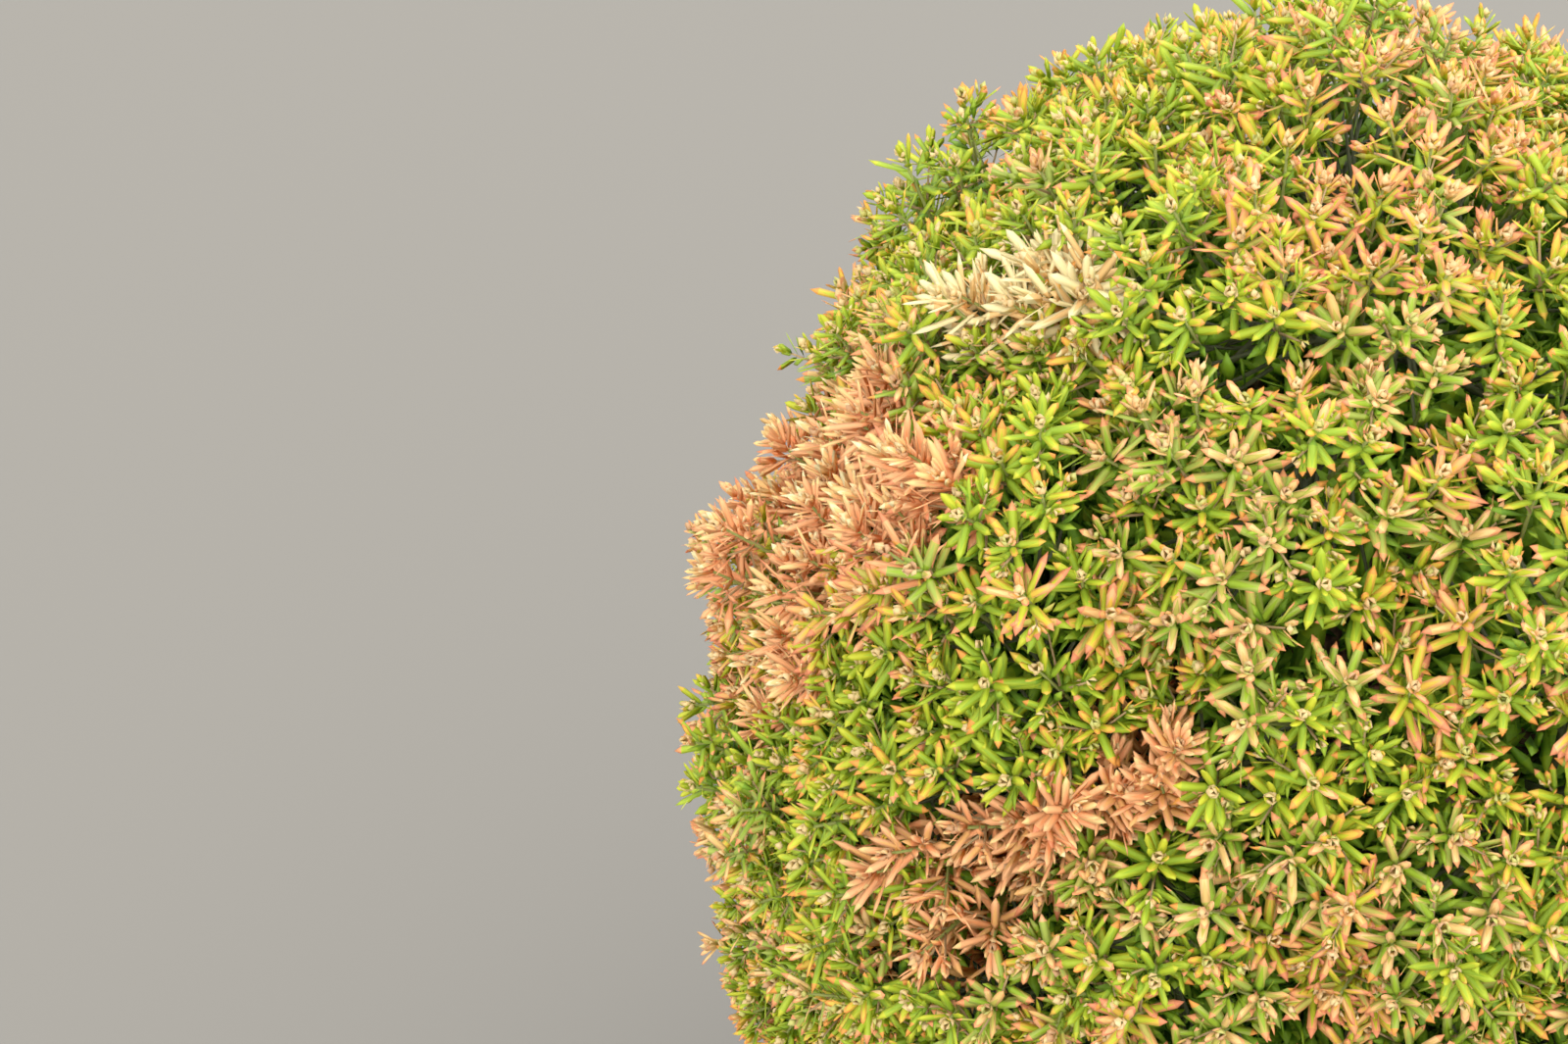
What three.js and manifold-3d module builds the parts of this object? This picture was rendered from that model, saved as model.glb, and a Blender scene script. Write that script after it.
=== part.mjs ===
// A dwarf globe conifer in its round nursery pot, in millimetres, +Z up.
// The origin is the centre of the pot's flat underside.
import * as THREE from "three";
import { mergeVertices } from "three/addons/utils/BufferGeometryUtils.js";
import Module from "manifold-3d";

const wasm = await Module();
wasm.setup();

// Driving dimensions: GAP parts neighbouring pieces and SPAN is a size larger than the plant.
const GAP = 0.3;
const SPAN = 500;
const POT = {
  height: 205,
  rimRadius: 125,
  footRadius: 96,
  wall: 2.3,
  floor: 3.2,
  collarHeight: 18,
  collarStep: 3,
  lip: 5.6,
  edge: 2,
  draft: 0.4,
  sides: 40,
};
const DRAIN = { count: 8, radius: 6, height: 11, sides: 8 };
const GROUND = { soilTop: 164, bedTop: 174 };
const CHIPS = { count: 23, seed: 4021, length: 27, width: 17, depth: 8, tilt: 0.25, nearest: 30, inset: 18 };
const CROWN = {
  middle: new THREE.Vector3(0, 0, 286),
  radius: 138,
  rise: 174,
  fall: 99,
  upperPower: 2.1,
  lowerPower: 6,
};
const RINGS = [
  { name: "top", count: 1, down: 0, turn: 0, trunkHeights: [], boughRadius: 0 },
  { name: "upper", count: 6, down: 46, turn: 20, trunkHeights: [284, 296], boughRadius: 3.3 },
  { name: "middle", count: 9, down: 83, turn: 0, trunkHeights: [243, 254, 265], boughRadius: 3.9 },
  { name: "lower", count: 9, down: 113, turn: 20, trunkHeights: [205, 216, 227], boughRadius: 4.3 },
];
const RING_SEED = 77;
const RING_WANDER = 5;
const TRUNK = { footRadius: 9, tipRadius: 2.6, lean: 2.5, sides: 12, steps: 12 };
const FLARE = { share: 0.65, height: 11, ribs: 5, ribShare: 0.35 };
const LIMB = { tipShare: 0.5, tipRadius: 2.2, sides: 5, steps: 4, outRun: 20, upRun: 13, endRun: 18 };
const LOBES = { count: 92, lowest: 126, seed: 911, wander: 5, unevenness: 0.07, halfAngle: 13, dip: 0.07 };
const MASS = {
  innerShare: 0.57,
  centreShare: 0.7,
  coreShare: 0.86,
  outerDetail: 4,
  innerDetail: 1,
  margin: 0.5,
  stemEndRadius: 1.5,
  twigRadius: 1.8,
  twigEndRadius: 0.9,
  twigShare: 0.93,
  underside: 207,
  heart: 46,
  heartSides: 9,
};
const SPRAY = {
  perLobe: 5,
  seed: 5309,
  length: 34,
  closeness: [1, 0.7, 0.35],
  width: 13,
  thickness: 4,
  widest: 0.55,
  rootShare: 0.77,
  spread: 8.5,
  lean: 30,
  uneven: 0.15,
  clearOfPot: 1.5,
};

const UP = new THREE.Vector3(0, 0, 1);
const GOLDEN_ANGLE = Math.PI * (3 - Math.sqrt(5));
const radians = THREE.MathUtils.degToRad;

// A repeatable stream of numbers from 0 to 1.
function seededNumbers(seed) {
  let state = seed;
  return () => {
    state = (state * 48271) % 2147483647;
    return state / 2147483647;
  };
}

// A number from -1 to 1.
const swing = (random) => 2 * random() - 1;

// The unit vector at so many degrees down from straight up, turned about the trunk from -Y.
function heading(down, turn) {
  const level = Math.sin(radians(down));
  return new THREE.Vector3(
    level * Math.sin(radians(turn)),
    -level * Math.cos(radians(turn)),
    Math.cos(radians(down)),
  );
}

// Turns a unit vector away from itself by an angle, towards a side counted about it.
function tilted(toward, angle, side) {
  const across = new THREE.Vector3(1, 0, 0).cross(toward);
  if (across.lengthSq() < 0.01) across.set(0, 1, 0).cross(toward);
  across.normalize().applyAxisAngle(toward, side);
  return toward.clone().applyAxisAngle(across, angle);
}

// The item of a list whose heading is nearest to a direction.
function nearest(list, toward) {
  return list.reduce((best, item) => (item.toward.dot(toward) > best.toward.dot(toward) ? item : best));
}

// The distance from the crown's middle to its smooth outline.
function outlineReach(toward) {
  const power = toward.z > 0 ? CROWN.upperPower : CROWN.lowerPower;
  const height = toward.z > 0 ? CROWN.rise : CROWN.fall;
  const level = Math.hypot(toward.x, toward.y) / CROWN.radius;
  return (level ** power + (Math.abs(toward.z) / height) ** power) ** (-1 / power);
}

// The headings of the foliage masses, ring by ring, each a little off its even place.
function layOutMasses() {
  const random = seededNumbers(RING_SEED);
  const masses = [];
  for (const ring of RINGS) {
    for (let i = 0; i < ring.count; i++) {
      const off = ring.count > 1 ? RING_WANDER : 0;
      const down = ring.down + off * swing(random);
      const turn = ring.turn + (360 * i) / ring.count + off * swing(random);
      const label = ring.count > 1 ? `${ring.name}_${i + 1}` : ring.name;
      masses.push({ ring, index: i, label, toward: heading(down, turn) });
    }
  }
  return masses;
}

// The rounded lobes of the crown, spread by the golden angle, each with its own mass.
function layOutLobes(masses) {
  const random = seededNumbers(LOBES.seed);
  const lobes = [];
  for (let i = 0; i < LOBES.count; i++) {
    const share = (i + 0.5) / LOBES.count;
    const even = Math.acos(1 - share * (1 - Math.cos(radians(LOBES.lowest))));
    const down = Math.abs(THREE.MathUtils.radToDeg(even) + LOBES.wander * swing(random));
    const turn = THREE.MathUtils.radToDeg(i * GOLDEN_ANGLE) + LOBES.wander * swing(random);
    const toward = heading(down, turn);
    const swell = 1 - LOBES.unevenness * random();
    lobes.push({ toward, swell, mass: nearest(masses, toward) });
  }
  return lobes;
}

const masses = layOutMasses();
const lobes = layOutLobes(masses);

// The distance from the crown's middle to its lobed surface.
function surfaceReach(toward) {
  const lobe = nearest(lobes, toward);
  const away = toward.angleTo(lobe.toward) / radians(LOBES.halfAngle);
  return outlineReach(toward) * lobe.swell * (1 - LOBES.dip * Math.min(1, away * away));
}

const fromMiddle = (toward, distance) => toward.clone().multiplyScalar(distance).add(CROWN.middle);

// How far a point is inside the cone of directions that belongs to a mass.
function roomInCone(point, mass) {
  const offset = point.clone().sub(CROWN.middle);
  const rooms = masses
    .filter((other) => other !== mass)
    .map((other) => offset.dot(mass.toward.clone().sub(other.toward).normalize()));
  return Math.min(...rooms);
}

// Whether a spray's corner keeps to the mass's space, inside the crown's outline and clear of the pot.
function inSpace(point, mass) {
  const offset = point.clone().sub(CROWN.middle);
  const distance = offset.length();
  const overPot = Math.hypot(point.x, point.y) < POT.rimRadius + SPRAY.clearOfPot;
  return (
    distance < outlineReach(offset.divideScalar(distance)) &&
    roomInCone(point, mass) > MASS.margin / 2 &&
    !(overPot && point.z < POT.height + SPRAY.clearOfPot)
  );
}

// A closed geometry as a solid that can be joined and cut.
function solidOf(geometry) {
  const bare = geometry.clone();
  bare.deleteAttribute("normal");
  bare.deleteAttribute("uv");
  const merged = mergeVertices(bare, 1e-4);
  const vertProperties = merged.getAttribute("position").array;
  const triVerts = new Uint32Array(merged.index.array);
  return new wasm.Manifold(new wasm.Mesh({ numProp: 3, vertProperties, triVerts }));
}

// A solid's largest body as a geometry, so that loose scraps and sealed hollows are dropped.
function geometryOf(whole) {
  const body = whole.decompose().sort((a, b) => b.volume() - a.volume())[0];
  const { vertProperties, triVerts } = body.getMesh();
  const geometry = new THREE.BufferGeometry();
  geometry.setAttribute("position", new THREE.BufferAttribute(vertProperties, 3));
  geometry.setIndex(new THREE.BufferAttribute(triVerts, 1));
  return geometry;
}

// A tapering limb along a curve, with its radius given at each share of its length.
function limb(curve, radiusAt, sides, steps) {
  const geometry = new THREE.CylinderGeometry(1, 1, 1, sides, steps);
  const frames = curve.computeFrenetFrames(steps, false);
  const corners = geometry.getAttribute("position");
  for (let i = 0; i < corners.count; i++) {
    const step = Math.round((corners.getY(i) + 0.5) * steps);
    const across = new THREE.Vector3()
      .addScaledVector(frames.normals[step], corners.getX(i))
      .addScaledVector(frames.binormals[step], -corners.getZ(i));
    const side = Math.atan2(corners.getZ(i), corners.getX(i));
    const place = curve.getPointAt(step / steps).addScaledVector(across, radiusAt(step / steps, side));
    corners.setXYZ(i, place.x, place.y, place.z);
  }
  return geometry;
}

const evenTaper = (from, to) => (share) => from + (to - from) * share;

// A turned profile of [radius, height] pairs, standing on +Z.
function turned(profile, sides) {
  const points = profile.map(([radius, height]) => new THREE.Vector2(radius, height));
  return new THREE.LatheGeometry(points, sides).rotateX(Math.PI / 2);
}

// The outside and inside radius of the pot's wall, below its collar.
const collarFoot = POT.height - POT.collarHeight;
const wallTopRadius = POT.rimRadius - POT.lip / 2 - POT.collarStep - POT.wall;
const wallRadius = (height) => POT.footRadius + ((wallTopRadius - POT.footRadius) * height) / collarFoot;
const insideRadius = (height) => wallRadius(height) - POT.wall;

// The pot: a tapered wall, a stepped collar, a rolled lip and round drain holes above its foot.
function potGeometry() {
  const { height, rimRadius, wall, floor, collarStep, lip, edge, draft } = POT;
  const collarRadius = wallTopRadius + collarStep;
  const rolled = [];
  for (let angle = -45; angle <= 180; angle += 45) {
    const across = (lip / 2) * Math.cos(radians(angle));
    const rise = (lip / 2) * Math.sin(radians(angle));
    rolled.push([rimRadius - lip / 2 + across, height - lip / 2 + rise]);
  }
  const profile = [
    [0, 0],
    [wallRadius(0) - edge, 0],
    [wallRadius(edge), edge],
    [wallRadius(collarFoot), collarFoot],
    [collarRadius, collarFoot + edge],
    [collarRadius + draft, height - lip],
    ...rolled,
    [collarRadius - wall + draft, height - lip - edge / 2],
    [collarRadius - wall, collarFoot + edge + wall],
    [insideRadius(collarFoot), collarFoot],
    [insideRadius(floor), floor],
    [0, floor],
  ];
  const holes = [];
  for (let i = 0; i < DRAIN.count; i++) {
    const hole = new THREE.CylinderGeometry(DRAIN.radius, DRAIN.radius, 4 * DRAIN.radius, DRAIN.sides);
    hole.rotateZ(Math.PI / 2).translate(wallRadius(DRAIN.height), 0, DRAIN.height);
    hole.rotateZ((2 * Math.PI * (i + 0.5)) / DRAIN.count);
    holes.push(solidOf(hole));
  }
  return geometryOf(solidOf(turned(profile, POT.sides)).subtract(wasm.Manifold.union(holes)));
}

// The root ball that fills the pot up to the mulch.
function soilGeometry() {
  const bottom = POT.floor + GAP;
  const profile = [
    [0, bottom],
    [insideRadius(bottom) - 2 * GAP, bottom],
    [insideRadius(GROUND.soilTop) - 2 * GAP, GROUND.soilTop],
    [0, GROUND.soilTop],
  ];
  return turned(profile, POT.sides);
}

// A bed of mulch with chunks of bark lying on it, each sunk in by a quarter.
function mulchGeometry() {
  const random = seededNumbers(CHIPS.seed);
  const bottom = GROUND.soilTop + GAP;
  const edge = insideRadius(bottom) - 2 * GAP;
  const bed = turned([[0, bottom], [edge, bottom], [edge, GROUND.bedTop], [0, GROUND.bedTop]], POT.sides);
  const parts = [solidOf(bed)];
  for (let i = 0; i < CHIPS.count; i++) {
    const outward = Math.sqrt((i + 0.5) / CHIPS.count);
    const radius = THREE.MathUtils.lerp(CHIPS.nearest, edge - CHIPS.inset, outward);
    const size = 0.7 + 0.6 * random();
    const chip = new THREE.BoxGeometry(CHIPS.length * size, CHIPS.width * size, CHIPS.depth * size);
    chip.rotateX(CHIPS.tilt * swing(random)).rotateY(CHIPS.tilt * swing(random)).rotateZ(Math.PI * random());
    chip.translate(radius, 0, GROUND.bedTop + (CHIPS.depth * size) / 4).rotateZ(i * GOLDEN_ANGLE);
    parts.push(solidOf(chip));
  }
  return geometryOf(wasm.Manifold.union(parts));
}

// The trunk's line, from its flat cut on the mulch bed up to where the topmost mass begins.
const trunkFoot = GROUND.bedTop + GAP;
const trunkTip = CROWN.middle.z + LIMB.tipShare * outlineReach(UP) - GAP;
const trunkLine = new THREE.CubicBezierCurve3(
  new THREE.Vector3(-TRUNK.lean, TRUNK.lean / 2, trunkFoot),
  new THREE.Vector3(-TRUNK.lean, TRUNK.lean / 2, THREE.MathUtils.lerp(trunkFoot, trunkTip, 0.35)),
  new THREE.Vector3(TRUNK.lean, -TRUNK.lean, THREE.MathUtils.lerp(trunkFoot, trunkTip, 0.7)),
  new THREE.Vector3(0, 0, trunkTip),
);

// The trunk's radius at a share of its height, with a ribbed flare at its foot, grown by a clearance.
function trunkRadius(clearance) {
  const length = trunkTip - trunkFoot;
  return (share, side) => {
    const flare = FLARE.share * Math.exp((-share * length) / FLARE.height);
    const rib = 1 + FLARE.ribShare * flare * Math.cos(FLARE.ribs * side);
    return evenTaper(TRUNK.footRadius, TRUNK.tipRadius)(share) * (1 + flare) * rib + clearance;
  };
}

const trunkGeometry = (clearance) => limb(trunkLine, trunkRadius(clearance), TRUNK.sides, TRUNK.steps);

// A bough from the trunk's middle to where its mass begins, cut clear of the trunk.
function boughGeometry(mass) {
  const { trunkHeights, boughRadius } = mass.ring;
  const height = trunkHeights[mass.index % trunkHeights.length];
  const start = trunkLine.getPointAt((height - trunkFoot) / (trunkTip - trunkFoot));
  const end = fromMiddle(mass.toward, LIMB.tipShare * outlineReach(mass.toward) - GAP);
  const outward = new THREE.Vector3(mass.toward.x, mass.toward.y, 0).setLength(LIMB.outRun).setZ(LIMB.upRun);
  const line = new THREE.CubicBezierCurve3(
    start,
    start.clone().add(outward),
    end.clone().addScaledVector(mass.toward, -LIMB.endRun),
    end,
  );
  const whole = solidOf(limb(line, evenTaper(boughRadius, LIMB.tipRadius), LIMB.sides, LIMB.steps));
  return geometryOf(whole.subtract(solidOf(trunkGeometry(GAP))));
}

// A closed faceted ball about the crown's middle, with its reach given for each direction.
function crownBall(detail, reach) {
  const geometry = new THREE.IcosahedronGeometry(1, detail);
  const corners = geometry.getAttribute("position");
  for (let i = 0; i < corners.count; i++) {
    const toward = new THREE.Vector3().fromBufferAttribute(corners, i).normalize();
    const place = fromMiddle(toward, reach(toward));
    corners.setXYZ(i, place.x, place.y, place.z);
  }
  return solidOf(geometry);
}

// The dense part of the crown as one shell: lobed outside, hollow round the boughs and open below.
function crownShell() {
  const lobed = crownBall(MASS.outerDetail, (toward) => MASS.coreShare * surfaceReach(toward));
  const hollow = crownBall(MASS.innerDetail, (toward) => MASS.innerShare * outlineReach(toward));
  const heart = new THREE.CylinderGeometry(MASS.heart, MASS.heart, CROWN.fall, MASS.heartSides);
  heart.rotateX(Math.PI / 2).translate(0, 0, CROWN.middle.z - CROWN.fall / 2);
  const below = new THREE.BoxGeometry(SPAN, SPAN, SPAN).translate(0, 0, MASS.underside - SPAN / 2);
  return lobed.subtract(hollow).subtract(solidOf(heart)).subtract(solidOf(below));
}

// The core of a mass: its own sector of the shell, cut off on each side by its neighbours' planes.
function coreOf(mass, shell) {
  const others = masses.filter((other) => other !== mass).map((other) => {
    const aside = other.toward.clone().sub(mass.toward).normalize();
    const block = new THREE.BoxGeometry(SPAN, SPAN, SPAN).translate(0, 0, SPAN / 2 - MASS.margin);
    block.applyQuaternion(new THREE.Quaternion().setFromUnitVectors(UP, aside));
    return solidOf(block.translate(0, 0, CROWN.middle.z));
  });
  return shell.subtract(wasm.Manifold.union(others));
}

// A straight tapering stem between two points.
function stem(from, to, fromRadius, toRadius, sides) {
  return limb(new THREE.LineCurve3(from, to), evenTaper(fromRadius, toRadius), sides, 1);
}

// A needle spray: a slim blade, pointed at both ends, that stands out from its root.
function sprayGeometry(root, toward, roll, length) {
  const outline = [[0, 0], [SPRAY.width / 2, SPRAY.widest * length], [0, length]];
  const blade = new THREE.LatheGeometry(outline.map(([out, along]) => new THREE.Vector2(out, along)), 3);
  blade.scale(1, 1, SPRAY.thickness / SPRAY.width);
  blade.rotateY(roll);
  blade.applyQuaternion(new THREE.Quaternion().setFromUnitVectors(new THREE.Vector3(0, 1, 0), toward));
  return blade.translate(root.x, root.y, root.z);
}

// The corners of a geometry as points.
function cornersOf(geometry) {
  const corners = geometry.getAttribute("position");
  return Array.from({ length: corners.count }, (_, i) => new THREE.Vector3().fromBufferAttribute(corners, i));
}

// A spray of a lobe, so far out from the lobe's axis and leaning with it.
function spraySetOut(lobe, side, outward, roll, length) {
  const rootToward = tilted(lobe.toward, radians(SPRAY.spread) * outward, side);
  const toward = tilted(rootToward, radians(SPRAY.lean) * outward, side);
  const root = fromMiddle(rootToward, SPRAY.rootShare * surfaceReach(rootToward));
  return sprayGeometry(root, toward, roll, length);
}

// The sprays of one lobe: one along its axis and the rest in a ring that leans outwards.
// A spray that would leave its mass's space is tried closer to the axis, and is left out at last.
function lobeSprays(lobe, random) {
  const sprays = [];
  const start = 2 * Math.PI * random();
  for (let i = 0; i < SPRAY.perLobe; i++) {
    const side = start + (2 * Math.PI * i) / (SPRAY.perLobe - 1) + 2 * SPRAY.uneven * swing(random);
    const outward = i === 0 ? 0 : 1 + SPRAY.uneven * swing(random);
    const length = SPRAY.length * (1 + SPRAY.uneven * swing(random));
    const roll = Math.PI * random();
    const tries = SPRAY.closeness.map((share) => spraySetOut(lobe, side, share * outward, roll, length));
    const kept = tries.find((spray) => cornersOf(spray).every((corner) => inSpace(corner, lobe.mass)));
    if (kept) sprays.push(kept);
  }
  return sprays;
}

// One mass of foliage: its stem, the twigs that branch from it to each lobe, a core and the sprays.
function massGeometry(mass, shell, random) {
  const tip = fromMiddle(mass.toward, LIMB.tipShare * outlineReach(mass.toward));
  const fork = fromMiddle(mass.toward, MASS.centreShare * outlineReach(mass.toward));
  const parts = [coreOf(mass, shell), solidOf(stem(tip, fork, LIMB.tipRadius, MASS.stemEndRadius, 5))];
  for (const lobe of lobes.filter((each) => each.mass === mass)) {
    const twigTip = fromMiddle(lobe.toward, MASS.twigShare * surfaceReach(lobe.toward));
    parts.push(solidOf(stem(fork, twigTip, MASS.twigRadius, MASS.twigEndRadius, 3)));
    parts.push(...lobeSprays(lobe, random).map(solidOf));
  }
  return geometryOf(wasm.Manifold.union(parts));
}

const finish = (color, roughness) => new THREE.MeshStandardMaterial({ color, roughness, flatShading: true });
const POT_PLASTIC = finish(0x1b1c1e, 0.45);
const SOIL = finish(0x3a2a20, 1);
const BARK_CHIPS = finish(0x754f3e, 0.95);
const BARK = finish(0x6b5038, 0.9);
const FOLIAGE = finish(0xa39a45, 0.6);

function named(name, geometry, material) {
  const mesh = new THREE.Mesh(geometry, material);
  mesh.name = name;
  return mesh;
}

const plant = new THREE.Group();
plant.add(named("pot", potGeometry(), POT_PLASTIC));
plant.add(named("soil", soilGeometry(), SOIL));
plant.add(named("mulch", mulchGeometry(), BARK_CHIPS));
plant.add(named("trunk", trunkGeometry(0), BARK));
const shell = crownShell();
const sprayNumbers = seededNumbers(SPRAY.seed);
for (const mass of masses) {
  if (mass.ring.trunkHeights.length) plant.add(named(`bough_${mass.label}`, boughGeometry(mass), BARK));
  plant.add(named(`foliage_${mass.label}`, massGeometry(mass, shell, sprayNumbers), FOLIAGE));
}

export default plant;
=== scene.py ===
import math
import bpy
import numpy as np
from mathutils import Euler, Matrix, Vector


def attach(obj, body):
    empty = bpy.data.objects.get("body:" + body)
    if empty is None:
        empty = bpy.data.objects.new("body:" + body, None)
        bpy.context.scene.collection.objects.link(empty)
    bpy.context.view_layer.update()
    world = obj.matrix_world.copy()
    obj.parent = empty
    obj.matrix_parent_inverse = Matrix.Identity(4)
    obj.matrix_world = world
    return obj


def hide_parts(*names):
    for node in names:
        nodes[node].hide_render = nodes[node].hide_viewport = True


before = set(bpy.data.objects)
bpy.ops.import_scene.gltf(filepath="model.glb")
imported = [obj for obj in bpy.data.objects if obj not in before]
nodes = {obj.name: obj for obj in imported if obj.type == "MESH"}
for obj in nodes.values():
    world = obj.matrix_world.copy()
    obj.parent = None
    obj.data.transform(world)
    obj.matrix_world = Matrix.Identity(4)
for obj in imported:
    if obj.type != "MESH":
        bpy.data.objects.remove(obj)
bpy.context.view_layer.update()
scene = bpy.context.scene
toMetres = 0.001  # the plant's own sizes below are in millimetres

# The crown's outline, its masses and its lobes, by the same rule as the solids.
crown = dict(middle=np.array([0.0, 0.0, 286.0]), radius=138, rise=174, fall=99, upperPower=2.1,
    lowerPower=6, massSeed=77, massWander=5, rings=[
        dict(name="top", count=1, down=0, turn=0, heights=[], limb=0),
        dict(name="upper", count=6, down=46, turn=20, heights=[284, 296], limb=3.3),
        dict(name="middle", count=9, down=83, turn=0, heights=[243, 254, 265], limb=3.9),
        dict(name="lower", count=9, down=113, turn=20, heights=[205, 216, 227], limb=4.3)])
lobing = dict(count=92, lowest=126, seed=911, wander=5, unevenness=0.07, halfAngle=13, dip=0.07)
goldenAngle = math.pi * (3 - math.sqrt(5))
fullTurn = 6.28  # near enough for a random turn
potSpace = dict(radius=126.5, top=206.5)  # no needle or twig enters the pot's space


def seededNumbers(seed):
    state = seed
    while True:
        state = (state * 48271) % 2147483647
        yield state / 2147483647


def swing(numbers):
    return 2 * next(numbers) - 1


def wobble(draw, shape, limit=2):
    return draw.standard_normal(shape).clip(-limit, limit)


def heading(down, turn):
    level = math.sin(math.radians(down))
    around = math.radians(turn)
    return np.array([level * math.sin(around), -level * math.cos(around), math.cos(math.radians(down))])


def unit(vectors):
    return vectors / np.linalg.norm(vectors, axis=-1, keepdims=True)


def fromMiddle(points):
    return unit(points - crown["middle"])


def onRing(out, around, height):
    return np.stack(np.broadcast_arrays(out * np.cos(around), out * np.sin(around), height), axis=-1)


def between(first, second, turn):
    return first * np.cos(turn)[..., None] + second * np.sin(turn)[..., None]


def acrossOf(toward):
    helper = np.where(np.abs(toward[..., 2:3]) < 0.9, [[0.0, 0.0, 1.0]], [[1.0, 0.0, 0.0]])
    first = unit(np.cross(helper, toward))
    return first, np.cross(toward, first)


def outlineReach(toward):
    above = toward[..., 2] > 0
    power = np.where(above, crown["upperPower"], crown["lowerPower"])
    height = np.where(above, crown["rise"], crown["fall"])
    level = np.hypot(toward[..., 0], toward[..., 1]) / crown["radius"]
    return (level ** power + (np.abs(toward[..., 2]) / height) ** power) ** (-1 / power)


def layOutMasses():
    numbers = seededNumbers(crown["massSeed"])
    masses = []
    for ring in crown["rings"]:
        for i in range(ring["count"]):
            off = crown["massWander"] if ring["count"] > 1 else 0
            down = ring["down"] + off * swing(numbers)
            turn = ring["turn"] + 360 * i / ring["count"] + off * swing(numbers)
            label = f"{ring['name']}_{i + 1}" if ring["count"] > 1 else ring["name"]
            masses.append({"ring": ring, "index": i, "label": label, "toward": heading(down, turn)})
    return masses


def layOutLobes():
    numbers = seededNumbers(lobing["seed"])
    toward, swell = [], []
    for i in range(lobing["count"]):
        share = (i + 0.5) / lobing["count"]
        even = math.acos(1 - share * (1 - math.cos(math.radians(lobing["lowest"]))))
        down = abs(math.degrees(even) + lobing["wander"] * swing(numbers))
        turn = math.degrees(i * goldenAngle) + lobing["wander"] * swing(numbers)
        toward.append(heading(down, turn))
        swell.append(1 - lobing["unevenness"] * next(numbers))
    return np.array(toward), np.array(swell)


masses = layOutMasses()
massToward = np.array([mass["toward"] for mass in masses])
lobeToward, lobeSwell = layOutLobes()
lobeMass = np.argmax(lobeToward @ massToward.T, axis=1)


def surfaceReach(toward):
    nearness = toward @ lobeToward.T
    lobe = np.argmax(nearness, axis=-1)
    away = np.degrees(np.arccos(np.clip(np.max(nearness, axis=-1), -1, 1))) / lobing["halfAngle"]
    return outlineReach(toward) * lobeSwell[lobe] * (1 - lobing["dip"] * np.minimum(1, away * away))


def insideCrown(points, slack=0.0):
    offset = points - crown["middle"]
    distance = np.linalg.norm(offset, axis=-1)
    level = np.hypot(points[..., 0], points[..., 1])
    overPot = (level < potSpace["radius"]) & (points[..., 2] < potSpace["top"])
    return (distance < outlineReach(offset / distance[..., None]) + slack) & ~overPot


# The camera stands where the crown's middle lands on its place in the photograph.
photo = dict(width=1600, height=1065, lens=50, sensor=22.26, tilt=36, crownPixel=(1342, 720),
    crownDistance=772, leastFacing=-0.22)
focalPixels = photo["lens"] / photo["sensor"] * photo["width"]
cameraTurn = Euler((math.radians(photo["tilt"]), 0, 0))
crownRay = Vector(((photo["crownPixel"][0] - photo["width"] / 2) / focalPixels,
    (photo["height"] / 2 - photo["crownPixel"][1]) / focalPixels, -1)).normalized()
cameraPlace = Vector(crown["middle"]) - cameraTurn.to_matrix() @ crownRay * photo["crownDistance"]


def placeCamera():
    bpy.ops.object.camera_add(location=cameraPlace * toMetres, rotation=cameraTurn)
    camera = bpy.context.object
    camera.name = "photoCamera"
    camera.data.lens = photo["lens"]
    camera.data.sensor_width = photo["sensor"]
    camera.data.clip_start = 0.01
    scene.camera = camera


def photoPlace(points):
    local = (points - np.array(cameraPlace)) @ np.array(cameraTurn.to_matrix())
    across = photo["width"] / 2 + focalPixels * local[:, 0] / -local[:, 2]
    down = photo["height"] / 2 - focalPixels * local[:, 1] / -local[:, 2]
    seen = (unit(np.array(cameraPlace) - points) * fromMiddle(points)).sum(axis=1) > photo["leastFacing"]
    return np.stack([across, down], axis=1), seen


placeCamera()
print("camera placed")


# Small helpers for meshes and materials.
def linear(shade):
    parts = [part / 255 for part in shade]
    return tuple(part / 12.92 if part <= 0.04 else ((part + 0.055) / 1.055) ** 2.4 for part in parts) + (1,)


def shaderInputs(material):
    return material.node_tree.nodes["Principled BSDF"].inputs


def plainMaterial(name, shade, roughness, **sockets):
    material = bpy.data.materials.new(name)
    material.use_nodes = True
    sockets = {"Base Color": linear(shade), "Roughness": roughness} | sockets
    for label, value in sockets.items():
        shaderInputs(material)[label].default_value = value
    return material


def toneMaterials(values):
    return [plainMaterial(name, shade, values["roughness"]) for name, shade in values["tones"].items()]


def selectOnly(*pieces):
    bpy.ops.object.select_all(action="DESELECT")
    for piece in pieces:
        piece.select_set(True)
        bpy.context.view_layer.objects.active = pieces[0]


def meshPiece(name, parts, materials):
    corners, triangles, shades = joined(parts)
    mesh = bpy.data.meshes.new(name)
    mesh.vertices.add(len(corners))
    mesh.vertices.foreach_set("co", (corners * toMetres).astype(np.float32).ravel())
    mesh.loops.add(triangles.size)
    mesh.loops.foreach_set("vertex_index", triangles.astype(np.int32).ravel())
    mesh.polygons.add(len(triangles))
    mesh.polygons.foreach_set("loop_start", np.arange(0, triangles.size, 3, dtype=np.int32))
    mesh.polygons.foreach_set("material_index", shades.astype(np.int32))
    mesh.polygons.foreach_set("use_smooth", np.ones(len(triangles), dtype=bool))
    for material in materials:
        mesh.materials.append(material)
    mesh.update(calc_edges=True)
    mesh.validate()
    piece = bpy.data.objects.new(name, mesh)
    scene.collection.objects.link(piece)
    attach(piece, "root")
    print(f"{name}: {len(triangles)} triangles")
    return piece


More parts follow.
